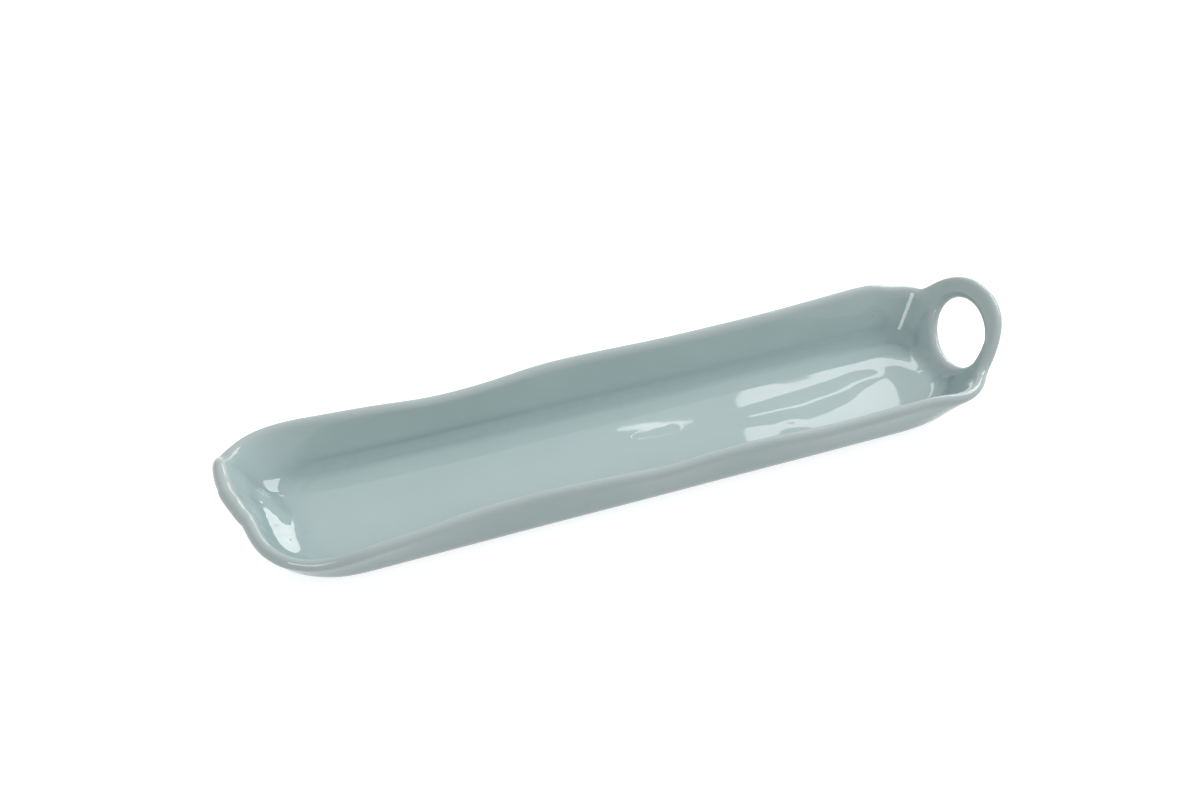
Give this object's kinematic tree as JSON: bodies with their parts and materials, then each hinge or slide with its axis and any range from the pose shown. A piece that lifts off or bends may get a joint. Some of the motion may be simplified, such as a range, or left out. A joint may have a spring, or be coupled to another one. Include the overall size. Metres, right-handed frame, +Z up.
{
  "type": "asparagus plate",
  "caption": "Long narrow serving dish in glazed stoneware with wavy hand-formed rims, a finger ring at one end and a rolled grip lip at the other.",
  "frame": {"origin": "on the surface that the foot stands on, under the middle of the whole dish", "axes": "+X along the dish towards the finger ring, +Y across it, +Z up"},
  "size_m": [0.4088, 0.103, 0.0532],
  "materials": {
    "glaze": "glossy pale duck-egg glaze over stoneware",
    "bare_clay": "unglazed fired clay, wiped and slightly rough"
  },
  "bodies": {
    "root": {"dish_shell": "glaze", "ring_handle": "glaze", "grip_lip": "glaze", "foot_ring": "bare_clay"}
  },
  "joints": []
}
